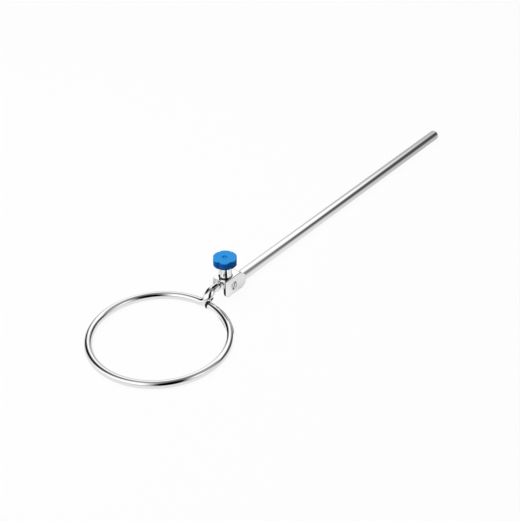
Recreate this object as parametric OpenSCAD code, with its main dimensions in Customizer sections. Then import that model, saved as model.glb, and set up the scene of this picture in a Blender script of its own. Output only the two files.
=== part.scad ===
// Laboratory support ring on an extension rod.
// A bent-rod ring tilts on a knuckle between the cheeks of a small cast head. A thumb screw on top
// of the head clamps the knuckle, and a long plain rod leaves the back of the head.
// Frame: the rod's axis is X, with x = 0 where it leaves the head and +X towards its free end.
// +Z runs up the thumb screw, and the ring lies on the -X side.

/* [Ring] */
// Inside diameter of the ring
ring_inner_d = 102; // [60:1:150]
// Diameter of the rod that is bent into the ring and its shank
wire_d = 6.3; // [5.4:0.1:6.4]
// Distance from the back of the head to the ring's near outer edge
ring_reach = 40.8; // [37:0.2:60]
// Diameter of the forged bend that drops from the shank to the ring
drop_d = 8; // [7:0.1:8.2]
// Height of the shank's centre line above the rod's axis
shank_z = 7; // [6.5:0.1:7.1]
// Distance from the back of the head to the corner of the shank's bend
shank_corner = 37.8; // [36.5:0.1:39]
// Diameter of the dressed weld that closes the ring
weld_d = 7.6; // [6.8:0.1:8]
// Offset of the weld from the shank's centre line
weld_side = 0.8; // [0.4:0.1:1.6]
// Diameter of the ring's free end, upset for the weld
end_d = 6.5; // [6.4:0.1:7.2]
// Offset of the free end's centre from the shank's centre line
end_side = 5.6; // [5:0.1:6.6]

/* [Extension rod] */
// Diameter of the extension rod
rod_d = 9.5; // [8:0.1:10.5]
// Length of rod standing out of the head
rod_out = 310; // [150:5:450]
// Length of the rod's seat in the head
socket_depth = 7.4; // [5:0.1:7.6]
// Diameter the rod's seat is turned down to
seat_d = 9.1; // [6:0.1:9.2]
// Rounding of the rod's free end
rod_round = 1.3; // [0.4:0.1:2.5]

/* [Head] */
// Width of the head across its cheeks
head_w = 13.4; // [12.8:0.2:18]
// Thickness of each cheek
cheek_t = 2; // [1.6:0.1:2.5]
// Length of the head along the rod
head_l = 27; // [26:0.5:32]
// Height of the head's top above the rod's axis
head_top = 11.6; // [11.4:0.1:15]
// Depth of the cheeks below the rod's axis
head_drop = 4.4; // [4.2:0.1:8]
// Length of the flat on top of the head
top_l = 19; // [16:0.5:20]
// Slope of the head's tail below the flat top, in degrees
tail_slope = 41; // [30:1:44]
// Radius of the cheek's lower front corner
lobe_r = 4.8; // [3:0.1:6]
// Radius of the cheek's lower back corner
tail_r = 7.4; // [6.5:0.1:8.5]
// Rounding of the tail's corners seen from above
tail_corner = 2.5; // [1:0.1:4]
// Rounding of the head's outer edges
edge_r = 0.9; // [0.3:0.1:1.4]

/* [Screw boss] */
// Diameter of the screw boss
boss_d = 11; // [9:0.1:12]
// Height of the screw boss
boss_h = 10.8; // [7:0.1:14]
// Distance from the back of the head to the screw's axis
screw_back = 18.7; // [17.5:0.1:19.5]

/* [Pivot] */
// Distance from the back of the head to the pivot's axis
pivot_back = 16; // [15.6:0.1:16.4]
// Height of the pivot's axis above the rod's axis
pivot_z = 3; // [2.7:0.1:3.2]
// Diameter of the pivot screw's shank
pivot_d = 4; // [3:0.1:4.4]
// Diameter of the pivot screw's flush head
pivot_head_d = 7.2; // [5.5:0.1:8]
// Thickness of the pivot screw's flush head
pivot_head_t = 1.1; // [0.8:0.1:1.4]
// Chamfer round the pivot screw's head
pivot_rim = 0.3; // [0.1:0.1:0.5]
// Width of the slot in the pivot screw's head
drive_slot_w = 1; // [0.6:0.1:1.4]
// Depth of the slot in the pivot screw's head
drive_slot_t = 0.5; // [0.3:0.1:0.6]
// Radius of the knuckle on the ring's shank
knuckle_r = 7.3; // [7.2:0.1:7.5]
// Length of the knuckle's block in front of the pivot's axis
knuckle_front = 6; // [5.2:0.1:7]
// Diameter of the shank's spigot in the knuckle
spigot_d = 3.8; // [3:0.1:4]
// Length of the shank's spigot in the knuckle
spigot_l = 3.2; // [2:0.1:3.4]

/* [Thumb screw] */
// Diameter across the knob's lobes
knob_d = 20; // [15:0.2:26]
// Height of the knob
knob_h = 6.6; // [6:0.1:11]
// Number of lobes round the knob
knob_lobes = 6; // [5:1:8]
// Turn of the knob as it stands, in degrees
knob_turn = 39; // [0:1:60]
// Depth of the grooves between the lobes
groove_depth = 1.2; // [0.7:0.1:1.6]
// Radius of the grooves between the lobes
groove_r = 2.2; // [1.8:0.1:2.6]
// Rounding of the knob's top and bottom edges
knob_round = 1.2; // [0.4:0.1:1.3]
// Diameter of the dimple in the knob's top
dimple_d = 4.6; // [3:0.1:6]
// Depth of the dimple in the knob's top
dimple_t = 0.7; // [0.3:0.1:1]
// Diameter of the screw's thread
screw_d = 6; // [5:0.1:6.4]
// Pitch of the thread
pitch = 1; // [0.8:0.05:1.4]
// Length of screw pressed into the knob
screw_grip = 4.6; // [3:0.1:5]
// Length of the screw's nose in the pad
nose_l = 1.2; // [0.8:0.1:1.6]
// Diameter of the brass pressure pad
pad_d = 4.8; // [4:0.1:4.9]
// Height of the brass pressure pad
pad_h = 2.6; // [2:0.1:4]

/* [Hidden] */
// Fits: one value for each kind of seat
turn_fit = 0.04;     // radial clearance where a round part turns
side_fit = 0.1;      // clearance beside the knuckle
crown_fit = 0.3;     // clearance over the knuckle's rim
pad_fit = 0.1;       // clearance from the pad to the knuckle at rest
knob_fit = 0.7;      // gap from the boss to the knob at rest
flush_fit = 0.05;    // radial clearance round the flush pivot head

// Ring and shank
wire_r = wire_d / 2;
rod_r = rod_d / 2;
ring_r = ring_inner_d / 2 + wire_r;
ring_z = wire_r - rod_r;
ring_x = -ring_reach - ring_r - wire_r;

// Head
lobe_x = lobe_r - head_l;
slot_w = head_w - 2 * cheek_t;
top_x = top_l - head_l;

// Knuckle and its cavity: the same crowned wheel, with the fits added
knuckle_w = slot_w - 2 * side_fit;
cavity_r = knuckle_r + crown_fit;
knuckle_top = pivot_z + knuckle_r;

// Thumb screw heights
screw_x = -screw_back;
pivot_x = -pivot_back;
pad_z = knuckle_top + pad_fit;
boss_top = head_top + boss_h;
knob_z = boss_top + knob_fit;
knob_top = knob_z + knob_h;
nose_d = pad_d / 2;
thread_t = 0.6 * pitch;
crest_w = 0.2 * pitch;
lobe_seat = 0.45 * knob_d / 2;

$fn = 96;

function unit(v) = v / norm(v);

// A straight round bar between two points
module bar(a, b, r) {
    way = b - a;
    turn = atan2(way.y, way.x);
    lean = acos(way.z / norm(way));
    translate(a)
        rotate([0, lean, turn])
            cylinder(h = norm(way), r = r);
}

// A wheel about the Y axis whose rim is a half round as wide as the wheel
module crowned_wheel(r, w) {
    rotate([90, 0, 0])
        rotate_extrude()
            union() {
                translate([0, -w / 2])
                    square([r - w / 2, w]);
                intersection() {
                    translate([r - w / 2, 0])
                        circle(w / 2);
                    translate([r - w / 2, -w / 2])
                        square([w / 2, w]);
                }
            }
}

// The ring: one rod, bent down from its shank and round to its rounded free end, which is welded
// to the bend. The bend was forged thicker than the rod.
module ring() {
    ring_centre = [ring_x, 0, ring_z];
    corner = [-shank_corner, 0, shank_z];
    joint = ring_centre + [ring_r, 0, 0];
    down = unit(joint - corner);
    shoulder = corner + (drop_d - wire_d) / 2 * down;
    end_angle = asin(end_side / ring_r);
    color("gainsboro")
        union() {
            bar([pivot_x - knuckle_front, 0, shank_z], corner, wire_r);
            bar([pivot_x - knuckle_front + spigot_l, 0, shank_z], corner, spigot_d / 2);
            translate(shoulder)
                sphere(d = drop_d);
            bar(shoulder, joint, drop_d / 2);
            translate(joint + [0, -weld_side, weld_d / 2 - wire_r])
                sphere(d = weld_d);
            translate(ring_centre) {
                rotate_extrude(angle = 360 - end_angle, $fn = 240)
                    translate([ring_r, 0])
                        circle(wire_r);
                rotate(-end_angle)
                    translate([ring_r, 0, end_d / 2 - wire_r])
                        sphere(d = end_d);
            }
        }
}

// Section across the knuckle or its cavity, in Z and Y: straight walls under a half round crown
module crowned_section(low, crown, w) {
    translate([crown - w / 2, 0])
        circle(w / 2);
    translate([low, -w / 2])
        square([crown - w / 2 - low, w]);
}

// The knuckle welded to the shank: it turns on the pivot screw inside the head
module knuckle() {
    color("silver")
        difference() {
            union() {
                translate([pivot_x, 0, pivot_z])
                    crowned_wheel(knuckle_r, knuckle_w);
                translate([pivot_x, 0, 0])
                    rotate([0, -90, 0])
                        linear_extrude(knuckle_front)
                            crowned_section(pivot_z, knuckle_top, knuckle_w);
            }
            translate([pivot_x, knuckle_w, pivot_z])
                rotate([90, 0, 0])
                    cylinder(h = 2 * knuckle_w, d = pivot_d + 2 * turn_fit);
            translate([pivot_x - knuckle_front, 0, shank_z])
                rotate([0, -90, 0])
                    cylinder(h = head_l, d = wire_d);
            translate([pivot_x - knuckle_front + spigot_l, 0, shank_z])
                rotate([0, -90, 0])
                    cylinder(h = head_l, d = spigot_d);
        }
}

// Side view of the head, in X and Z
module head_side() {
    intersection() {
        union() {
            translate([lobe_x, lobe_r - head_drop])
                circle(lobe_r);
            translate([-tail_r, tail_r - head_drop])
                circle(tail_r);
            translate([lobe_x, -head_drop])
                square([-tail_r - lobe_x, head_top + head_drop]);
            translate([-head_l, lobe_r - head_drop])
                square([lobe_r, head_top + head_drop - lobe_r]);
        }
        polygon([
            [-head_l, -head_drop],
            [-head_l, head_top],
            [top_x, head_top],
            [head_l, head_top - (head_l - top_x) * tan(tail_slope)],
            [head_l, -head_drop]
        ]);
    }
}

// Rectangle from the origin's left to its right with its two far corners rounded
module soft_end(w, h, r) {
    translate([-w / 2, 0])
        square([w, h - r]);
    translate([r - w / 2, 0])
        square([w - 2 * r, h]);
    for (side = [-1, 1])
        translate([side * (w / 2 - r), h - r])
            circle(r);
}

// The cavity for the knuckle and the shank's swing: open in front and below
module cavity() {
    below = -2 * head_drop;
    translate([pivot_x, 0, pivot_z])
        crowned_wheel(cavity_r, slot_w);
    translate([pivot_x, 0, 0])
        rotate([0, -90, 0])
            linear_extrude(head_l)
                crowned_section(below, pivot_z + cavity_r, slot_w);
    translate([pivot_x - cavity_r, -slot_w / 2, below])
        cube([2 * cavity_r, slot_w, pivot_z - below]);
}

// The cast head: two cheeks, a top with the screw boss, and a socket for the rod
module head() {
    reach = 2 * head_l;
    color("whitesmoke")
        difference() {
            union() {
                intersection() {
                    translate([0, head_w / 2, 0])
                        rotate([90, 0, 0])
                            linear_extrude(head_w)
                                head_side();
                    translate([-reach, 0, -reach])
                        rotate([90, 0, 90])
                            linear_extrude(2 * reach)
                                soft_end(head_w, head_top + reach, edge_r);
                    translate([-head_l / 2, 0, -reach])
                        rotate([0, 0, 90])
                            linear_extrude(2 * reach)
                                union() {
                                    soft_end(head_w, head_l / 2, edge_r);
                                    mirror([0, 1])
                                        soft_end(head_w, head_l / 2, tail_corner);
                                }
                }
                translate([screw_x, 0, head_top])
                    boss();
            }
            cavity();
            translate([-socket_depth, 0, 0])
                rotate([0, 90, 0])
                    cylinder(h = reach, d = seat_d);
            translate([screw_x, 0, pivot_z])
                cylinder(h = boss_top, d = screw_d + 2 * turn_fit);
            translate([pivot_x, head_w, pivot_z])
                rotate([90, 0, 0])
                    cylinder(h = 2 * head_w, d = pivot_d);
            translate([pivot_x, pivot_head_t - head_w / 2, pivot_z])
                rotate([90, 0, 0])
                    cylinder(h = head_w, d = pivot_head_d + 2 * flush_fit);
        }
}

// Turned boss for the thumb screw, its top edge rounded, let into the head's top
module boss() {
    rotate_extrude()
        intersection() {
            translate([0, -edge_r])
                square([boss_d / 2, boss_h + edge_r]);
            union() {
                translate([0, -edge_r])
                    square([boss_d / 2, boss_h]);
                square([boss_d / 2 - edge_r, boss_h]);
                translate([boss_d / 2 - edge_r, boss_h - edge_r])
                    circle(edge_r);
            }
        }
}

// The extension rod: its turned-down seat is pressed into the head's socket
module extension_rod() {
    color("gainsboro")
        rotate([0, 90, 0])
            rotate_extrude()
                union() {
                    translate([0, -socket_depth])
                        square([seat_d / 2, socket_depth + rod_round]);
                    square([rod_r, rod_out - rod_round]);
                    translate([0, rod_out - 2 * rod_round])
                        square([rod_r - rod_round, 2 * rod_round]);
                    translate([rod_r - rod_round, rod_out - rod_round])
                        circle(rod_round);
                }
}

// The pivot screw: a flush slotted head in one cheek, its shank through the knuckle to the other
module pivot_screw() {
    color("silver")
        translate([pivot_x, -head_w / 2, pivot_z])
            rotate([-90, 0, 0])
                difference() {
                    union() {
                        cylinder(h = pivot_rim, d1 = pivot_head_d - 2 * pivot_rim, d2 = pivot_head_d);
                        translate([0, 0, pivot_rim])
                            cylinder(h = pivot_head_t - pivot_rim, d = pivot_head_d);
                        cylinder(h = head_w, d = pivot_d);
                    }
                    rotate([0, 0, -60])
                        translate([-pivot_head_d, -drive_slot_w / 2, -drive_slot_t])
                            cube([2 * pivot_head_d, drive_slot_w, 2 * drive_slot_t]);
                }
}

// Round disc with its top and bottom edges rounded
module soft_disc(r, h, round_r) {
    rotate_extrude()
        union() {
            translate([0, round_r])
                square([r, h - 2 * round_r]);
            square([r - round_r, h]);
            for (z = [round_r, h - round_r])
                translate([r - round_r, z])
                    circle(round_r);
        }
}

// Outline of the knob: lobes about a disc, with a hollow between each two of them
module knob_outline() {
    difference() {
        union() {
            circle(knob_d / 2 - groove_depth / 2);
            for (i = [0 : knob_lobes - 1])
                rotate(i * 360 / knob_lobes)
                    translate([lobe_seat, 0])
                        circle(knob_d / 2 - lobe_seat);
        }
        for (i = [0 : knob_lobes - 1])
            rotate((i + 0.5) * 360 / knob_lobes)
                translate([knob_d / 2 - groove_depth + groove_r, 0])
                    circle(groove_r);
    }
}

// The knob: its outline with rounded rims, a dimple on top and the bore for the screw below
module knob() {
    color("royalblue")
        translate([screw_x, 0, knob_z])
            rotate([0, 0, knob_turn])
                difference() {
                    intersection() {
                        linear_extrude(knob_h)
                            knob_outline();
                        soft_disc(knob_d / 2, knob_h, knob_round);
                    }
                    translate([0, 0, -knob_h])
                        cylinder(h = knob_h + screw_grip, d = screw_d);
                    translate([0, 0, knob_h + dimple_ball() - dimple_t])
                        sphere(dimple_ball());
                }
}

// Radius of the ball that sinks the dimple
function dimple_ball() = (pow(dimple_d / 2, 2) + pow(dimple_t, 2)) / (2 * dimple_t);

// The steel screw: a row of thread crests between the knob and the nose that turns in the pad
module screw_stud() {
    foot = pad_z + pad_h;
    head_end = knob_z + screw_grip;
    crests = floor((knob_z - foot) / pitch);
    root_r = screw_d / 2 - thread_t;
    color("silver")
        translate([screw_x, 0, 0])
            rotate_extrude()
                union() {
                    translate([0, foot - nose_l])
                        square([nose_d / 2, 2 * nose_l]);
                    translate([0, foot])
                        square([root_r, knob_z - foot]);
                    for (i = [0 : crests - 1])
                        translate([0, foot + i * pitch])
                            polygon([
                                [0, 0],
                                [root_r, 0],
                                [screw_d / 2, (pitch - crest_w) / 2],
                                [screw_d / 2, (pitch + crest_w) / 2],
                                [root_r, pitch],
                                [0, pitch]
                            ]);
                    translate([0, knob_z])
                        square([screw_d / 2, head_end - knob_z]);
                }
}

// The brass pad that presses on the knuckle: it slides with the screw and doesn't turn
module pressure_pad() {
    color("goldenrod")
        translate([screw_x, 0, pad_z])
            difference() {
                cylinder(h = pad_h, d = pad_d);
                translate([0, 0, pad_h - nose_l - turn_fit])
                    cylinder(h = pad_h, d = nose_d + 2 * turn_fit);
            }
}

ring();
knuckle();
head();
extension_rod();
pivot_screw();
knob();
screw_stud();
pressure_pad();
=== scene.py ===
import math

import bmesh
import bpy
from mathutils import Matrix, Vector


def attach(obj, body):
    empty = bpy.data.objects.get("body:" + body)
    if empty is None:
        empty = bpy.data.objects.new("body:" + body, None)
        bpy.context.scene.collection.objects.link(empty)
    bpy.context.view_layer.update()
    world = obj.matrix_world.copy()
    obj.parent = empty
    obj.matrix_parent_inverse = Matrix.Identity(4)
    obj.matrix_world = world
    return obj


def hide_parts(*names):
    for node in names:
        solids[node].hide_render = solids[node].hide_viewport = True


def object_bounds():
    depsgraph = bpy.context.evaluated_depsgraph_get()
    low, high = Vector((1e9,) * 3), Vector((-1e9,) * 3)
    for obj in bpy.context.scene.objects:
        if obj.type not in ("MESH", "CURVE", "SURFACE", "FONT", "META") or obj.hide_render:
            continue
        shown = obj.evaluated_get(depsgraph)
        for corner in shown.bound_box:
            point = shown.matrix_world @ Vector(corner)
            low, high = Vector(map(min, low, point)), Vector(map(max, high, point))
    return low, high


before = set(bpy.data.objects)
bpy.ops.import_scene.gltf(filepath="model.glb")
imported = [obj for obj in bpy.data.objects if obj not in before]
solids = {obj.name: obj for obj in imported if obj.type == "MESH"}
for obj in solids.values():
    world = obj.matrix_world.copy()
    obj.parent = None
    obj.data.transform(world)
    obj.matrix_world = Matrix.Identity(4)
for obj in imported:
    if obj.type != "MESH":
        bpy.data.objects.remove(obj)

# %% [markdown]
# # A laboratory support ring on its extension rod
# A polished ring hangs from a bent shank, the shank tilts in a small cast head, a blue thumb
# screw clamps it, and a long rod carries the head. The solids arrive ready made. This lesson
# gives them their finishes and makes four forms that a solid model simplifies: the ring's rod
# with its forged bend, the collar of its weld, the fillet at the foot of the screw boss, and the
# screw's thread. Then it builds a studio that polished metal can reflect.

MM = 0.001
cad_box = [list(corner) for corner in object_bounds()]
floor_z = cad_box[0][2]
print("solids:", ", ".join(sorted(solids)))
print("floor at", round(floor_z / MM, 2), "mm")

# %% [markdown]
# ## Sizes that more than one step needs
# The frame is the solids' own: X runs along the rod away from the head, Z runs up the thumb
# screw, and the ring lies towards -X. Sizes are written in millimetres, as on a drawing, and are
# turned into metres where they reach Blender. They are the solids' own sizes, so that what is
# made here meets them.

# %% Sizes of the head, the thumb screw and the ring
table = floor_z / MM
head_front, head_side, head_bottom, plate_top = -27.0, 6.7, -4.4, 11.6
screw_x, boss_radius = -18.7, 5.5
pivot_x, pivot_z = -16.0, 3.0
knob_top, knob_bottom = 29.7, 23.1
wire = 6.3 / 2
ring_radius = 54.15
ring_centre = Vector((-98.1, 0.0, -1.6))
print("the ring is", round(2 * (ring_radius - wire), 1), "mm wide inside")

# %% [markdown]
# ## Writing node trees in few words
# Every finish and the studio light are node trees. Adding nodes one by one takes many lines, so
# a small helper makes a node, sets its fixed values and links its inputs in one call. An input
# that is given a socket is linked, and any other value is set on the input itself. Some nodes
# have several inputs of one name, so an input may also be called by its number, as in0 or in1.

# %% A helper for node trees
class Tree:
    """An emptied node tree with a short way to add linked nodes."""

    def __init__(self, tree):
        self.nodes = tree.nodes
        self.links = tree.links
        self.nodes.clear()

    def add(self, kind, settings=None, **inputs):
        """A node of that kind, with its settings made and its inputs set or linked."""
        node = self.nodes.new(kind)
        for name, value in (settings or {}).items():
            setattr(node, name, value)
        for name, value in inputs.items():
            numbered = name.startswith("in") and name[2:].isdigit()
            key = int(name[2:]) if numbered else name.replace("_", " ")
            if isinstance(value, bpy.types.NodeSocket):
                self.links.new(value, node.inputs[key])
            else:
                node.inputs[key].default_value = value
        return node

    def operate(self, kind, operation, values):
        """A Math or Vector Math node on up to three values or sockets."""
        places = {"in%d" % i: value for i, value in enumerate(values)}
        return self.add(kind, {"operation": operation}, **places)

    def maths(self, operation, *values):
        """The number that a Math node gives."""
        return self.operate("ShaderNodeMath", operation, values).outputs[0]

    def vectors(self, operation, *values):
        """The vector that a Vector Math node gives."""
        return self.operate("ShaderNodeVectorMath", operation, values).outputs["Vector"]

    def measure(self, operation, *values):
        """The number that a Vector Math node gives, as a length or a dot product."""
        return self.operate("ShaderNodeVectorMath", operation, values).outputs["Value"]

    def ramp(self, value, low, high, to_low, to_high):
        """A smooth change from to_low to to_high while value goes from low to high."""
        return self.add(
            "ShaderNodeMapRange", {"interpolation_type": "SMOOTHSTEP"}, Value=value,
            From_Min=low, From_Max=high, To_Min=to_low, To_Max=to_high,
        ).outputs["Result"]

    def ramp_mm(self, distance, low, high, to_low, to_high):
        """The same smooth change, with low and high in millimetres."""
        return self.ramp(distance, low * MM, high * MM, to_low, to_high)

    def blend(self, share, first, second):
        """The first colour where share is 0, the second where it is 1."""
        node = self.add("ShaderNodeMix", {"data_type": "RGBA"}, in0=share, in6=first, in7=second)
        return node.outputs[2]

    def mix_shaders(self, share, first, second):
        """The first shader where share is 0, the second where it is 1."""
        return self.add("ShaderNodeMixShader", in0=share, in1=first, in2=second).outputs["Shader"]

    def place(self):
        """The Object coordinates, in metres."""
        return self.add("ShaderNodeTexCoord").outputs["Object"]

    def axes(self, vector):
        """The X, Y and Z of a vector."""
        return self.add("ShaderNodeSeparateXYZ", Vector=vector).outputs


def blank_material(name):
    """A new material and its emptied tree."""
    material = bpy.data.materials.new(name)
    material.use_nodes = True
    return material, Tree(material.node_tree)


# %% [markdown]
# ## Fine marks on metal
# No real metal is perfectly even: a buffing wheel leaves soft waves in its gloss, and a casting
# keeps a faint unevenness. A noise on Object coordinates, in metres, changes the roughness by a
# small amount. Object coordinates stay on the piece when it moves, and they need no unwrapping.
# A Bevel node rounds the shading of the edges, because a sharp edge catches no light.

# %% Marks and edges
noise_low, noise_high = 0.3, 0.7


def wear(tree, grain_mm, roughness, spread, stretch=(1, 1, 1)):
    """A roughness that wanders by spread about its mean, over patches of grain_mm."""
    pulled = tree.vectors("MULTIPLY", tree.place(), stretch)
    noise = tree.add("ShaderNodeTexNoise", Vector=pulled, Scale=1 / (grain_mm * MM), Detail=3.0)
    return tree.ramp(
        noise.outputs["Fac"], noise_low, noise_high, roughness - spread, roughness + spread,
    )


def soft_edges(tree, radius_mm):
    """A normal that rounds the shading of a solid's edges."""
    bevel = tree.add("ShaderNodeBevel", {"samples": 8}, Radius=radius_mm * MM)
    return bevel.outputs["Normal"]


def metal_surface(tree, tone, roughness, normal):
    """The shader that all the metals here share."""
    shader = tree.add(
        "ShaderNodeBsdfPrincipled", Base_Color=tone, Metallic=1.0, Roughness=roughness,
        Normal=normal,
    )
    return shader.outputs["BSDF"]


def metal(name, colour, roughness, spread, edge_mm, grain_mm=3.0, stretch=(1, 1, 1)):
    """A metal with worked-in gloss waves and softened edges."""
    material, tree = blank_material(name)
    gloss = wear(tree, grain_mm, roughness, spread, stretch)
    surface = metal_surface(tree, (*colour, 1), gloss, soft_edges(tree, edge_mm))
    tree.add("ShaderNodeOutputMaterial", Surface=surface)
    return material


# %% [markdown]
# ## Polished chrome, steel and brass
# The ring, its shank and the rod are plated and buffed until they mirror the room, so nearly
# all that we see in them is the studio. Their roughness is close to nothing. The rod was drawn
# and polished lengthwise, so its waves are pulled out along it. The turned screw is plain steel,
# and the pad that presses on the knuckle is brass, softer than what it presses. The boss's
# fillet and the weld's collar are painted nearly black, as painted shade in their creases.

# %% The plain metals
mirror_tone = (0.97, 0.97, 0.97)
polish = {"roughness": 0.03, "spread": 0.015}
turning = {"roughness": 0.25, "spread": 0.06, "grain_mm": 0.8}
painted_shade_gloss = {"spread": 0.05, "edge_mm": 0.1, "grain_mm": 0.8}
ring_chrome = metal("ring_chrome", mirror_tone, **polish, edge_mm=0.3)
rod_chrome = metal(
    "rod_chrome", mirror_tone, **polish, edge_mm=0.6, grain_mm=1.5, stretch=(0.15, 1, 1),
)
knuckle_chrome = metal(
    "knuckle_chrome", (0.93, 0.93, 0.92), roughness=0.08, spread=0.03, edge_mm=0.3,
)
turned_steel = metal("turned_steel", (0.72, 0.72, 0.71), **turning, edge_mm=0.2)
# The fillet and the weld's collar get nearly black metal: painted shade in their creases.
fillet_skin = metal("fillet_skin", (0.1, 0.1, 0.1), roughness=0.2, **painted_shade_gloss)
weld_tint = metal("weld_tint", (0.05, 0.05, 0.05), roughness=0.25, **painted_shade_gloss)
pad_brass = metal("pad_brass", (0.8, 0.6, 0.25), **turning, edge_mm=0.1)
print("the chrome gives back", mirror_tone[0], "of the light")

# %% [markdown]
# ## The cast head: bright top, satin cheeks
# The head's top and boss are buffed bright and its two flat cheeks are left satin. One material
# does both: a smooth step on the distance from the middle plane mixes a mirror with a satin
# nickel. A thin dark line is painted where the two meet, a painted dark reflection along the
# rounded edge. The cheeks are painted darker towards the bottom, as painted shade. The front
# lips of the cheeks are painted dark low down and bright towards the top, a painted dark
# reflection of the shank and ring in front of them.

# %% The head's finish
cheek_inside, cheek_outside = 6.3, 6.6
line_start, line_full, line_fade, line_end = 6.2, 6.4, 6.5, 6.68
line_depth = 0.6
lip_front, lip_back = head_front + 0.8, head_front + 1.2
grey_low, grey_high, bright_low, bright_high = 4, 8.5, 10.3, 11.2
# Tones of the front lips' painted dark reflection, and the mirror's own tone.
lip_reflection_dark, lip_reflection_grey, bright_tone = 0.02, 0.66, 0.97


def head_finish():
    """Mirror nickel on top, satin nickel on the cheeks, with painted shade and painted
    reflections.
    """
    material, tree = blank_material("head_nickel")
    edges = soft_edges(tree, 0.9)
    x, y, z = tree.axes(tree.place())
    side = tree.maths("ABSOLUTE", y)
    # Painted dark reflection on the front lips, dark low down and bright at the top.
    lip_painted_reflection = tree.maths(
        "MAXIMUM", tree.ramp_mm(z, grey_low, grey_high, lip_reflection_dark, lip_reflection_grey),
        tree.ramp_mm(z, bright_low, bright_high, lip_reflection_dark, bright_tone),
    )
    is_lip = tree.ramp_mm(x, lip_front, lip_back, 1.0, 0.0)
    darker = tree.maths("SUBTRACT", lip_painted_reflection, bright_tone)
    top_tone = tree.maths("MULTIPLY_ADD", darker, is_lip, bright_tone)
    top_gloss = wear(tree, grain_mm=3.0, roughness=0.05, spread=0.02)
    bright = metal_surface(tree, top_tone, top_gloss, edges)
    # A painted dark reflection line along the rounded edge between mirror and satin.
    line = tree.maths(
        "MULTIPLY", tree.ramp_mm(side, line_start, line_full, 0.0, line_depth),
        tree.ramp_mm(side, line_fade, line_end, 1.0, 0.0),
    )
    # Painted shade: the cheeks grow darker towards the bottom.
    low_shade_tone = tree.ramp_mm(z, head_bottom, pivot_z, 0.85, 1.0)
    cheek_tone = tree.maths("MULTIPLY", low_shade_tone, tree.maths("SUBTRACT", 1.0, line))
    cheek_gloss = wear(tree, grain_mm=0.8, roughness=0.3, spread=0.04)
    satin = metal_surface(tree, cheek_tone, cheek_gloss, edges)
    is_cheek = tree.ramp_mm(side, cheek_inside, cheek_outside, 0.0, 1.0)
    both = tree.mix_shaders(is_cheek, bright, satin)
    tree.add("ShaderNodeOutputMaterial", Surface=both)
    return material


head_nickel = head_finish()
print("the polish turns satin", cheek_inside, "to", cheek_outside, "mm from the middle")

# %% [markdown]
# ## The pivot screw's head
# The pivot screw sits flush in the near cheek and has the same satin finish. A dark ring is
# painted a little inside its rim, part dirt and part painted shade in a shallow groove, and its
# slot is painted dark, as painted shade. The ring is only a tone here, so the disc stays flat.
# The distance from the screw's own axis gives the ring, and the depth below the cheek gives the
# slot, so both stay on the screw whichever way the head turns. All of the screw beyond that
# depth takes the slot's painted shade, so its plain end in the far cheek is dark too.

# %% The pivot screw's finish
dark_start, dark_full, dark_fade, dark_end = 2.3, 2.7, 2.8, 3.1
# Tones of the dark ring, part dirt and part painted shade, and of the slot's painted shade.
disc_tone, ring_dirt_and_shade_tone, rim_tone = 0.9, 0.15, 0.95
slot_mouth, slot_depth, slot_shade_tone = -6.5, -6.3, 0.2


def from_axis(tree, axis_point, keep):
    """Distance of the surface from an axis through axis_point, square to the kept directions."""
    shifted = tree.vectors("SUBTRACT", tree.place(), [value * MM for value in axis_point])
    return tree.measure("LENGTH", tree.vectors("MULTIPLY", shifted, keep))


def pivot_finish():
    """Satin steel with a painted dark ring inside its rim and painted shade in its slot."""
    material, tree = blank_material("pivot_steel")
    radius = from_axis(tree, (pivot_x, 0.0, pivot_z), (1, 0, 1))
    # A dark ring, part dirt and part painted shade, and painted shade in the slot.
    ring_tone = tree.maths(
        "MAXIMUM", tree.ramp_mm(radius, dark_start, dark_full, disc_tone, ring_dirt_and_shade_tone),
        tree.ramp_mm(radius, dark_fade, dark_end, ring_dirt_and_shade_tone, rim_tone),
    )
    depth = tree.axes(tree.place())["Y"]
    in_slot = tree.ramp_mm(depth, slot_mouth, slot_depth, 1.0, slot_shade_tone)
    tone = tree.maths("MULTIPLY", ring_tone, in_slot)
    gloss = wear(tree, grain_mm=0.8, roughness=0.28, spread=0.04)
    surface = metal_surface(tree, tone, gloss, soft_edges(tree, 0.1))
    tree.add("ShaderNodeOutputMaterial", Surface=surface)
    return material


pivot_steel = pivot_finish()
print("the dark ring lies", dark_full, "to", dark_fade, "mm from the pivot's axis")

# %% [markdown]
# ## Blue anodised aluminium
# The knob is aluminium, bead blasted and dyed blue in its oxide skin. The dye sits over a matt
# metal, so the colour is deep and the gloss is weak: mostly a diffuse blue with a soft
# highlight, and a fine grain from the blasting. The grain goes into the roughness and, very
# lightly, into the normal. Light and shade are painted into the blue: a lit blue on the top, a
# darker shaded blue on the sides, painted shade deeper still on the wall of the dimple, and a
# painted shadow, nearly black, on the underside.

# %% The knob's finish
# Lit and shaded copies of the blue, as painted light and shade.
top_lit_blue = (0.022, 0.26, 0.65, 1)
side_shaded_blue = (0.006, 0.18, 0.70, 1)
dimple_shade_blue = (0.01, 0.11, 0.33, 1)
under_shadow_blue = (0.002, 0.01, 0.03, 1)
top_start, top_full = knob_top - 1.1, knob_top - 0.2
dimple_low, dimple_high = knob_top - 1.7, knob_top - 1.3
under_full, under_end = knob_bottom + 0.1, knob_bottom + 0.6
wall_start, wall_full, wall_fade, wall_end = 0.9, 1.6, 1.9, 2.4
blast_grain, blast_depth, blast_strength = 0.5, 0.1, 0.03


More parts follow.
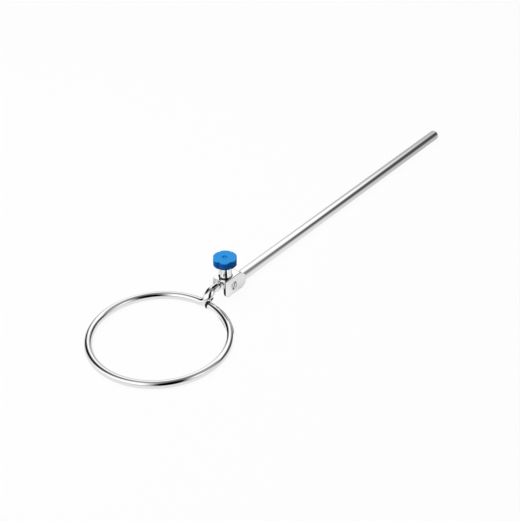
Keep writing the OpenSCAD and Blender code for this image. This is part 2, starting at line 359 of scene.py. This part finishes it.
def anodised_finish():
    """Blue anodising with painted light and shade in four tones, over a blasted grain."""
    material, tree = blank_material("blue_anodised")
    place = tree.place()
    grain = tree.add(
        "ShaderNodeTexNoise", Vector=place, Scale=1 / (blast_grain * MM), Detail=2.0,
    )
    blasted = tree.add(
        "ShaderNodeBump", Strength=blast_strength, Distance=blast_depth * MM,
        Height=grain.outputs["Fac"], Normal=soft_edges(tree, 0.5),
    )
    radius = from_axis(tree, (screw_x, 0.0, 0.0), (1, 1, 0))
    height = tree.axes(place)["Z"]
    wall = tree.maths(
        "MULTIPLY", tree.ramp_mm(radius, wall_start, wall_full, 0.0, 1.0),
        tree.ramp_mm(radius, wall_fade, wall_end, 1.0, 0.0),
    )
    near_top = tree.ramp_mm(height, dimple_low, dimple_high, 0.0, 1.0)
    in_dimple = tree.maths("MULTIPLY", wall, near_top)
    below = tree.ramp_mm(height, under_full, under_end, 1.0, 0.0)
    on_top = tree.ramp_mm(height, top_start, top_full, 0.0, 1.0)
    # Painted light and shade: lit top, shaded sides, darker dimple wall, shadowed underside.
    blue_and_painted_shade = tree.blend(on_top, side_shaded_blue, top_lit_blue)
    blue_and_painted_shade = tree.blend(in_dimple, blue_and_painted_shade, dimple_shade_blue)
    blue_and_painted_shade = tree.blend(below, blue_and_painted_shade, under_shadow_blue)
    gloss = wear(tree, grain_mm=0.6, roughness=0.45, spread=0.06)
    shader = tree.add(
        "ShaderNodeBsdfPrincipled", Base_Color=blue_and_painted_shade, Specular_IOR_Level=0.12,
        Roughness=gloss, Normal=blasted.outputs["Normal"],
    )
    tree.add("ShaderNodeOutputMaterial", Surface=shader.outputs["BSDF"])
    return material


blue_anodised = anodised_finish()
print("the knob's top is", knob_top, "mm above the rod's axis")

# %% [markdown]
# ## Dressing the solids
# Each solid is one piece of one material, so its mesh needs a single material slot. The solids'
# own shapes stay as they are.

# %% Each solid gets its finish
looks = {
    "ring": ring_chrome, "knuckle": knuckle_chrome, "head": head_nickel,
    "extension_rod": rod_chrome, "pivot_screw": pivot_steel, "knob": blue_anodised,
    "screw_stud": turned_steel, "pressure_pad": pad_brass,
}
for name, look in looks.items():
    mesh = solids[name].data
    mesh.materials.clear()
    mesh.materials.append(look)
    print(name, "is", look.name)

# %% [markdown]
# ## The ring's rod, bent and forged
# The real ring and its shank are one steel rod. It leaves the knuckle straight, is forged
# thicker where it bends down, flows into one side of the ring, runs all the way round, and ends
# in a rounded tip that is welded to the bend. A rod that follows a path is what Geometry Nodes'
# Curve to Mesh is for: the path is a poly curve whose points carry their own radius. The bend's
# few points are listed, and a smooth curve runs through them. The ring needs no list,
# because a circle is a formula.

# %% The bend's path
def on_ring(angle):
    """A point on the ring's centre line, with the angle in degrees from the shank."""
    a = math.radians(angle)
    return ring_centre + ring_radius * Vector((math.cos(a), math.sin(a), 0))


flow_angle, shank_z = 8.0, 7.0
bend = [
    (Vector((-18.9, 0, shank_z)), wire), (Vector((-26, 0, shank_z)), wire),
    (Vector((-33.8, 0, shank_z)), wire), (Vector((-37.0, -0.1, 6.3)), 3.9),
    (Vector((-39.4, -0.4, 4.2)), 4.5), (Vector((-41.2, -0.4, 1.9)), 4.4),
    (Vector((-42.6, 0.3, -0.2)), 4.0), (Vector((-43.7, 2.3, -1.2)), 3.45),
    (on_ring(4.8), 3.2), (on_ring(flow_angle), wire), (on_ring(flow_angle + 3), wire),
]


def smooth_path(points, steps):
    """Points and radii on a Catmull-Rom curve through all but the last of the given ones."""
    smooth = []
    for i in range(len(points) - 2):
        four = [points[max(0, i + k)] for k in (-1, 0, 1, 2)]
        for step in range(steps):
            t = step / steps
            shares = (
                (-t + 2 * t * t - t ** 3) / 2, (2 - 5 * t * t + 3 * t ** 3) / 2,
                (t + 4 * t * t - 3 * t ** 3) / 2, (t ** 3 - t * t) / 2,
            )
            point = sum((share * each[0] for share, each in zip(shares, four)), Vector())
            radius = sum(share * each[1] for share, each in zip(shares, four))
            point.z = max(point.z, table + radius)
            smooth.append((point, radius))
    return smooth


path = smooth_path(bend, 6)
print("path points to the ring:", len(path))

# %% [markdown]
# ## Round the ring to its tip
# The path goes on round the circle in equal small steps. At the free end the rod is rounded:
# the radius falls as a cosine while the point runs on as a sine, which closes the rod with a
# half ball.

# %% The ring and its free end
free_end, tip_length = 355.0, 3.2
ring_steps, tip_steps = 240, 9
least_radius = 0.02
for i in range(ring_steps + 1):
    angle = flow_angle + (free_end - flow_angle) * i / ring_steps
    path.append((on_ring(angle), wire))
end_way = (on_ring(free_end + 1) - on_ring(free_end)).normalized()
for i in range(1, tip_steps + 1):
    turn = math.radians(90 * i / tip_steps)
    point = on_ring(free_end) + tip_length * math.sin(turn) * end_way
    path.append((point, max(least_radius, wire * math.cos(turn))))
print("path points in all:", len(path))

# %% [markdown]
# ## One tree that sweeps a rod
# The tree takes the curve, gives each point the radius it carries, and sweeps a circle along it.
# Its inputs are the number of sides and the finish, so the same tree can sweep any rod. It ends
# in Realize Instances and Set Material because only real, dressed faces leave Blender.

# %% The sweeping tree
def sweeping_tree():
    """The node group, and the identifiers of its two named inputs."""
    group = bpy.data.node_groups.new("sweep_rod", "GeometryNodeTree")
    face = group.interface
    face.new_socket("Geometry", in_out="INPUT", socket_type="NodeSocketGeometry")
    sides = face.new_socket("Sides", in_out="INPUT", socket_type="NodeSocketInt")
    finish = face.new_socket("Finish", in_out="INPUT", socket_type="NodeSocketMaterial")
    face.new_socket("Geometry", in_out="OUTPUT", socket_type="NodeSocketGeometry")
    tree = Tree(group)
    given = tree.add("NodeGroupInput").outputs
    circle = tree.add("GeometryNodeCurvePrimitiveCircle", Resolution=given["Sides"], Radius=1.0)
    radius = tree.add("GeometryNodeInputRadius").outputs[0]
    swept = tree.add(
        "GeometryNodeCurveToMesh", Curve=given["Geometry"],
        Profile_Curve=circle.outputs["Curve"], Fill_Caps=True,
    )
    if "Scale" in swept.inputs:
        tree.links.new(radius, swept.inputs["Scale"])
    smooth = tree.add("GeometryNodeSetShadeSmooth", Geometry=swept.outputs["Mesh"])
    real = tree.add("GeometryNodeRealizeInstances", Geometry=smooth.outputs["Geometry"])
    dressed = tree.add(
        "GeometryNodeSetMaterial", Geometry=real.outputs["Geometry"], Material=given["Finish"],
    )
    tree.add("NodeGroupOutput", Geometry=dressed.outputs["Geometry"])
    return group, {"sides": sides.identifier, "finish": finish.identifier}


sweep, sweep_inputs = sweeping_tree()
print("the sweep's inputs:", sweep_inputs)

# %% [markdown]
# ## From a path to a plain mesh
# The curve carries the tree as a modifier. Its evaluated result is copied to a plain mesh, and
# the curve is removed, so no live modifier is left on the piece. The same function serves the
# ring's rod here and the screw's thread later.

# %% The swept ring takes the solid's place
def piece_of(name, mesh):
    """An object at the origin that shows a mesh."""
    piece = bpy.data.objects.new(name, mesh)
    bpy.context.collection.objects.link(piece)
    print(name, "has", len(mesh.polygons), "faces")
    return piece


def swept_rod(name, points, sides, finish):
    """A plain mesh of a rod through (point in mm, radius in mm) pairs."""
    curve = bpy.data.curves.new(name, "CURVE")
    curve.dimensions = "3D"
    spline = curve.splines.new("POLY")
    spline.points.add(len(points) - 1)
    for target, (point, radius) in zip(spline.points, points):
        target.co = (*(point * MM), 1)
        target.radius = radius * MM
    source = bpy.data.objects.new(name + "_path", curve)
    bpy.context.collection.objects.link(source)
    modifier = source.modifiers.new("sweep", "NODES")
    modifier.node_group = sweep
    modifier[sweep_inputs["sides"]] = sides
    modifier[sweep_inputs["finish"]] = finish
    seen = source.evaluated_get(bpy.context.evaluated_depsgraph_get())
    mesh = bpy.data.meshes.new_from_object(seen)
    bpy.data.objects.remove(source)
    return piece_of(name, mesh)


ring_sides = 48
ring_rod = swept_rod("ring_rod", path, ring_sides, ring_chrome)
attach(ring_rod, "ring")
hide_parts("ring")

# %% [markdown]
# ## The weld
# The ring's rounded end is welded to the bend, and a collar in the crease between the two is
# painted nearly black, as painted shade in that crease. It is a flattened ball set square to the
# ring, a little wider than the rod, so that only its rim shows. That rim just touches the table,
# as the ring does.

# %% The weld's collar
weld_angle, weld_half_length, weld_rim = 356.7, 2.0, 3.8
weld_mesh = bpy.data.meshes.new("weld_collar")
ball = bmesh.new()
bmesh.ops.create_uvsphere(ball, u_segments=48, v_segments=24, radius=weld_rim * MM)
weld_centre = on_ring(weld_angle)
weld_centre.z = table + weld_rim
ball.transform(
    Matrix.Translation(weld_centre * MM)
    @ Matrix.Rotation(math.radians(weld_angle), 4, "Z")
    @ Matrix.Diagonal((1, weld_half_length / weld_rim, 1, 1))
)
ball.to_mesh(weld_mesh)
ball.free()
weld_mesh.polygons.foreach_set("use_smooth", [True] * len(weld_mesh.polygons))
# The collar's nearly black finish is painted shade in the crease.
weld_mesh.materials.append(weld_tint)
weld_collar = piece_of("weld_collar", weld_mesh)
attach(weld_collar, "ring")

# %% [markdown]
# ## A turned shape
# The fillet and the screw's core are both shapes from a lathe: a closed profile carried round an
# upright axis. Its corners and faces are written out in a loop, which keeps every face turned
# outward. A reach function may push the profile in or out at each angle, for a shape that isn't
# quite round.

# %% Turning a profile
def turned(name, profile, axis_x, finish, steps=96, reach=None):
    """A closed profile of (radius, height) pairs in mm, turned about an upright axis."""
    corners, faces = [], []
    for i in range(steps):
        a = 2 * math.pi * i / steps
        for radius, z in profile:
            far = reach(radius, a) if reach else radius
            corners.append(((axis_x + far * math.cos(a)) * MM, far * math.sin(a) * MM, z * MM))
    count = len(profile)
    for i in range(steps):
        here, there = i * count, (i + 1) % steps * count
        for j in range(count):
            k = (j + 1) % count
            faces.append((here + j, there + j, there + k, here + k))
    mesh = bpy.data.meshes.new(name)
    mesh.from_pydata(corners, [], faces)
    mesh.polygons.foreach_set("use_smooth", [True] * len(faces))
    mesh.materials.append(finish)
    return piece_of(name, mesh)


# %% [markdown]
# ## The fillet at the foot of the boss
# A casting never meets itself in a sharp corner: the pattern maker runs a small fillet round the
# boss. It is widest towards the near corner of the top, where there is room for it, and thin on
# the other sides. Where the head is too narrow for it, its toe is held back to the flat of the
# top. Its hollow is painted nearly black, as painted shade and a painted dark reflection in the
# crease at the boss's foot.

# %% The boss's fillet
fillet, sunk, arc_steps = 1.3, 0.2, 9
near_corner = math.atan2(-head_side, head_front - screw_x)
flat_edge = 5.95
thin_share, corner_share = 0.25, 1.1


def fillet_reach(radius, a):
    """The fillet's radius at an angle: full towards the near corner and thin elsewhere."""
    full = max(0, math.cos(a - near_corner)) ** 3
    share = thin_share + corner_share * full
    wide = min(radius, boss_radius) + max(0, radius - boss_radius) * share
    return min(wide, flat_edge / max(0.01, abs(math.sin(a))))


hollow = []
for i in range(arc_steps + 1):
    a = math.radians(90 * i / arc_steps)
    out, up = fillet * (1 - math.cos(a)), fillet * (1 - math.sin(a))
    hollow.append((boss_radius + out, plate_top + up))
foot = [(boss_radius + fillet, plate_top - sunk), (boss_radius - sunk, plate_top - sunk)]
top_edge = [(boss_radius - sunk, plate_top + fillet)]
# The fillet's nearly black finish is painted shade in the crease.
boss_fillet = turned(
    "boss_fillet", (hollow + foot + top_edge)[::-1], screw_x, fillet_skin, reach=fillet_reach,
)
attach(boss_fillet, "head")

# %% [markdown]
# ## The screw's thread
# The solid has a row of rings for its thread, which is near enough to fit by. The real thread is
# one ridge that winds up the core. The same sweeping tree makes it: the path is now a helix that
# fades out at both ends.

# %% The thread's ridge
pitch, thread_low, thread_high = 1.0, 13.0, 23.0
ridge_radius, least_ridge, ridge_growth = 2.5, 0.1, 0.34
turn_steps, fade_steps, ridge_sides = 36, 18, 8
helix_steps = int((thread_high - thread_low) / pitch * turn_steps)
helix = []
for i in range(helix_steps + 1):
    a = 2 * math.pi * i / turn_steps
    rise = thread_low + pitch * i / turn_steps
    fade = min(1, i / fade_steps, (helix_steps - i) / fade_steps)
    point = Vector((screw_x + ridge_radius * math.cos(a), ridge_radius * math.sin(a), rise))
    helix.append((point, least_ridge + ridge_growth * fade))
ridge = swept_rod("thread_ridge", helix, ridge_sides, turned_steel)

# %% [markdown]
# ## The core of the screw
# The core is a turned bar: a thinner nose below, the root of the thread, and a thicker end that
# is pressed into the knob. Core and ridge join into one piece that takes the solid's place.

# %% The core, and both as one piece
axis, nose_radius, root_radius, grip_radius = 0.01, 1.2, 2.4, 3.0
nose_end, grip_end = 11.8, 27.7
core_profile = [
    (axis, nose_end), (nose_radius, nose_end), (nose_radius, thread_low),
    (root_radius, thread_low), (root_radius, knob_bottom), (grip_radius, knob_bottom),
    (grip_radius, grip_end), (axis, grip_end),
]
core = turned("thumb_screw_thread", core_profile, screw_x, turned_steel, steps=48)
both = bmesh.new()
for part in (ridge, core):
    both.from_mesh(part.data)
both.to_mesh(core.data)
both.free()
bpy.data.objects.remove(ridge)
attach(core, "thumb_screw")
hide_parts("screw_stud")
print("ridge and core together have", len(core.data.polygons), "faces")

# %% [markdown]
# ## The floor
# The object lies on a white sheet that runs on out of sight. The camera looks through the sheet
# to the white room beyond, and only a small part of a matt surface stays, enough for a faint
# shadow. The sheet counts as much darker for the light that bounces between matt surfaces, so
# that it doesn't fill the shadows under the object.

# %% The sheet as the camera sees it
sheet_width, sheet_gap = 6, 0.01
paper_tone, bounce_tone = 0.7, 0.2
near_clear, near_reach, far_reach = 0.95, 0.5, 1.6
bpy.ops.mesh.primitive_plane_add(size=sheet_width, location=(0, 0, floor_z - sheet_gap * MM))
floor = bpy.context.object
floor.name = "floor"
paper, sheet = blank_material("white_paper")
rays = sheet.add("ShaderNodeLightPath").outputs
spot = sheet.place()
clear = sheet.add("ShaderNodeBsdfTransparent", Color=(1, 1, 1, 1)).outputs["BSDF"]
tone = sheet.maths(
    "MULTIPLY_ADD", rays["Is Diffuse Ray"], bounce_tone - paper_tone, paper_tone,
)
matt = sheet.add("ShaderNodeBsdfDiffuse", Color=tone).outputs["BSDF"]
from_origin = sheet.measure("LENGTH", spot)
clear_share = sheet.ramp(from_origin, near_reach, far_reach, near_clear, 1.0)
print("the sheet lies", sheet_gap, "mm below the object")

# %% [markdown]
# ## The sheet in the mirrors
# Mirrors see the sheet as a pale grey, because it gets less light than the walls, and it dims
# along the rod. A dark card lies on it just beside the ring, out of the camera's sight and in
# the boss's, as one lays a card to put a black stripe into polished metal. The sheet is brighter
# close round the card. The card is an oval: a Mapping node measures the place in the card's own
# half sizes, so its rim is at a distance of 1.

# %% The sheet as mirrors see it
card_middle, card_turn, card_half_size = (-42.8, -26.8), -132, (18, 12.5)
rim_inside, rim_outside, near_card, off_card = 0.85, 1.15, 1.4, 2.4
near_card_level, sheet_level = 0.98, 0.78
dim_from, dim_to, dim_share = 30, 330, 0.6
card = sheet.add(
    "ShaderNodeMapping", {"vector_type": "TEXTURE"}, Vector=spot,
    Location=(card_middle[0] * MM, card_middle[1] * MM, 0),
    Rotation=(0, 0, math.radians(card_turn)),
    Scale=(card_half_size[0] * MM, card_half_size[1] * MM, 1),
)
away = sheet.measure("LENGTH", card.outputs["Vector"])
sheet_light = sheet.maths(
    "MULTIPLY", sheet.ramp(away, rim_inside, rim_outside, 0.0, 1.0),
    sheet.ramp(away, near_card, off_card, near_card_level, sheet_level),
)
along_rod = sheet.ramp_mm(sheet.axes(spot)["X"], dim_from, dim_to, 1.0, dim_share)
sheet_light = sheet.maths("MULTIPLY", sheet_light, along_rod)
to_mirror = sheet.add("ShaderNodeEmission", Color=(1, 1, 1, 1), Strength=sheet_light)
print("the dark card's middle is at", card_middle, "mm")

# %% [markdown]
# ## The finished sheet
# The ray tells the sheet what it is: a mirror's ray gets the pale grey, the camera's ray looks
# through, and any other ray meets the matt surface. From below the sheet is clear for all, so
# that the ring still shows when it is tilted down past the table.

# %% One material for all rays
mirrored = sheet.mix_shaders(rays["Is Glossy Ray"], matt, to_mirror.outputs["Emission"])
camera_share = sheet.maths("MULTIPLY", rays["Is Camera Ray"], clear_share)
from_above = sheet.mix_shaders(camera_share, mirrored, clear)
below = sheet.add("ShaderNodeNewGeometry").outputs["Backfacing"]
sheet_look = sheet.mix_shaders(below, from_above, clear)
sheet.add("ShaderNodeOutputMaterial", Surface=sheet_look)
floor.data.materials.append(paper)
print("the sheet's tree has", len(sheet.nodes), "nodes")

# %% [markdown]
# ## A studio made for mirrors
# Polished metal shows only what stands round it, so the light is drawn as a room: bright walls,
# a little brighter above than below, with a few oval dark gaps between the light panels. Each
# gap is a soft ellipse on the sphere of directions. A direction on the opposite side of the
# sphere would fall inside the same ellipse, so it is moved far off.

# %% Drawing a gap
world = bpy.data.worlds.new("studio")
bpy.context.scene.world = world
world.use_nodes = True
sky = Tree(world.node_tree)
direction = sky.add("ShaderNodeTexCoord").outputs["Generated"]
far_off = 10.0


def toward(azimuth, elevation):
    """Unit vector towards a place in the studio, with the azimuth counted from +X."""
    a, e = math.radians(azimuth), math.radians(elevation)
    return Vector((math.cos(a) * math.cos(e), math.sin(a) * math.cos(e), math.sin(e)))


def along(axis, reach):
    """The part of the looking direction that lies along an axis, in units of reach."""
    return sky.measure("DOT_PRODUCT", direction, axis / reach)


def dark_gap(azimuth, elevation, turn, half_length, half_width, depth, softness):
    """Light of 1 outside an oval dark gap between the panels, falling by depth inside it."""
    centre = toward(azimuth, elevation)
    east = toward(azimuth + 90, 0)
    north = centre.cross(east)
    long_way = math.cos(math.radians(turn)) * east + math.sin(math.radians(turn)) * north
    behind = sky.maths("LESS_THAN", along(centre, 1), 0.0)
    where = sky.add(
        "ShaderNodeCombineXYZ",
        X=along(long_way, math.sin(math.radians(half_length))),
        Y=along(centre.cross(long_way), math.sin(math.radians(half_width))),
        Z=sky.maths("MULTIPLY", behind, far_off),
    )
    distance = sky.measure("LENGTH", where.outputs["Vector"])
    return sky.ramp(distance, 1 - softness, 1 + softness, 1 - depth, 1.0)


# %% [markdown]
# ## The room as mirrors see it
# Angles are in degrees. The turn is counted from the level, depth says how dark a gap is, and
# softness how slowly its rim fades. The gaps' light multiplies, so where two gaps cross it is
# darker. These numbers weren't chosen by hand: a fitting program found the gaps and the room's
# levels below and above, and they were rounded afterwards, to whole degrees and steps of 0.05.

# %% The gaps between the panels
gaps = {
    "on the far side of the ring": {
        "azimuth": 89, "elevation": 25, "turn": 55, "half_length": 41, "half_width": 24,
        "depth": 1.0, "softness": 0.55,
    },
    "right of the rod's far end": {
        "azimuth": -18, "elevation": 19, "turn": 161, "half_length": 31, "half_width": 22,
        "depth": 0.85, "softness": 0.3,
    },
    "across the ceiling": {
        "azimuth": 24, "elevation": 80, "turn": 4, "half_length": 66, "half_width": 23,
        "depth": 0.7, "softness": 0.15,
    },
    "wide, round the rod's far end": {
        "azimuth": -1, "elevation": 12, "turn": -1, "half_length": 51, "half_width": 29,
        "depth": 0.55, "softness": 0.15,
    },
    "tall, beside the camera": {
        "azimuth": -123, "elevation": 39, "turn": -10, "half_length": 24, "half_width": 45,
        "depth": 1.0, "softness": 0.45,
    },
    "low and long, behind the camera": {
        "azimuth": 232, "elevation": 11, "turn": 1, "half_length": 60, "half_width": 9,
        "depth": 0.9, "softness": 0.9,
    },
}
dim_below, bright_above, horizon = 0.75, 1.1, 0.35
level = sky.ramp(sky.axes(direction)["Z"], -horizon, horizon, dim_below, bright_above)
for gap in gaps.values():
    level = sky.maths("MULTIPLY", level, dark_gap(**gap))
print("dark gaps:", "; ".join(gaps))

# %% [markdown]
# ## What each kind of ray sees
# Mirrors see the room with its gaps. Matt surfaces see an even dim room, so the lamp shapes them.
# The camera's own ray gets white, so the background is white without a brighter light on the
# object. A Light Path node tells the rays apart.

# %% Matt surfaces, mirrors and the camera
def backdrop(strength):
    """A white background of that strength."""
    node = sky.add("ShaderNodeBackground", Color=(1, 1, 1, 1), Strength=strength)
    return node.outputs["Background"]


matt_level, white_level = 0.22, 1.0
sky_rays = sky.add("ShaderNodeLightPath").outputs
room = sky.mix_shaders(sky_rays["Is Glossy Ray"], backdrop(matt_level), backdrop(level))
all_rays = sky.mix_shaders(sky_rays["Is Camera Ray"], room, backdrop(white_level))
sky.add("ShaderNodeOutputWorld", Surface=all_rays)
print("matt surfaces get", matt_level, "of white from the room")

# %% [markdown]
# ## The lamp over the table
# One large round lamp above gives the knob its light top, its darker sides, and the floor its
# soft shadow. It is hidden from mirrors, because the room already holds the reflections.

# %% Overhead lamp
lamp_data = bpy.data.lights.new("overhead", "AREA")
lamp_data.shape = "DISK"
lamp_data.size = 1.0
lamp_data.energy = 16
lamp = bpy.data.objects.new("overhead", lamp_data)
bpy.context.collection.objects.link(lamp)
lamp.location = (-0.25, 0.35, 1.15)
lamp.rotation_euler = (-lamp.location).to_track_quat("-Z", "Y").to_euler()
lamp.visible_glossy = False
print("the lamp hangs", round(lamp.location.length, 2), "m from the frame's origin")

# %% [markdown]
# ## The camera
# The object is long and lies away from us, so a long lens from about 0.8 m keeps its far end
# from shrinking too much. The camera's own axes are worked out from its heading, its downward
# tilt and a very small roll, and written straight into its matrix. It stands back from a point
# close to the ring's middle, and a little to the right and up, so that ring and rod fill the
# frame together. Its angles and its place were fitted to the edges of ring and rod.

# %% Camera
picture_width, focal_length, sensor_width = 520, 1050, 36
camera_tilt, camera_heading, camera_roll = 34.839, 38.836, -0.731
aim = Vector((-98.0, 0, -1.03))
shift_right, shift_up, stand_back = 76.968, 58.289, 802.994
camera_data = bpy.data.cameras.new("camera")
camera_data.sensor_fit = "HORIZONTAL"
camera_data.sensor_width = sensor_width
camera_data.lens = sensor_width * focal_length / picture_width
camera = bpy.data.objects.new("camera", camera_data)
bpy.context.collection.objects.link(camera)
ahead = toward(camera_heading, -camera_tilt)
level_right = toward(camera_heading - 90, 0)
level_up = level_right.cross(ahead)
roll = math.radians(camera_roll)
right = math.cos(roll) * level_right + math.sin(roll) * level_up
up = -math.sin(roll) * level_right + math.cos(roll) * level_up
stand = aim + shift_right * right + shift_up * up - stand_back * ahead
columns = (right, up, -ahead, stand * MM)
camera.matrix_world = Matrix(
    [[column[row] for column in columns] for row in range(3)] + [[0, 0, 0, 1]]
)
bpy.context.scene.camera = camera
bpy.context.scene.view_settings.view_transform = "Standard"
print("lens", round(camera_data.lens, 1), "mm")
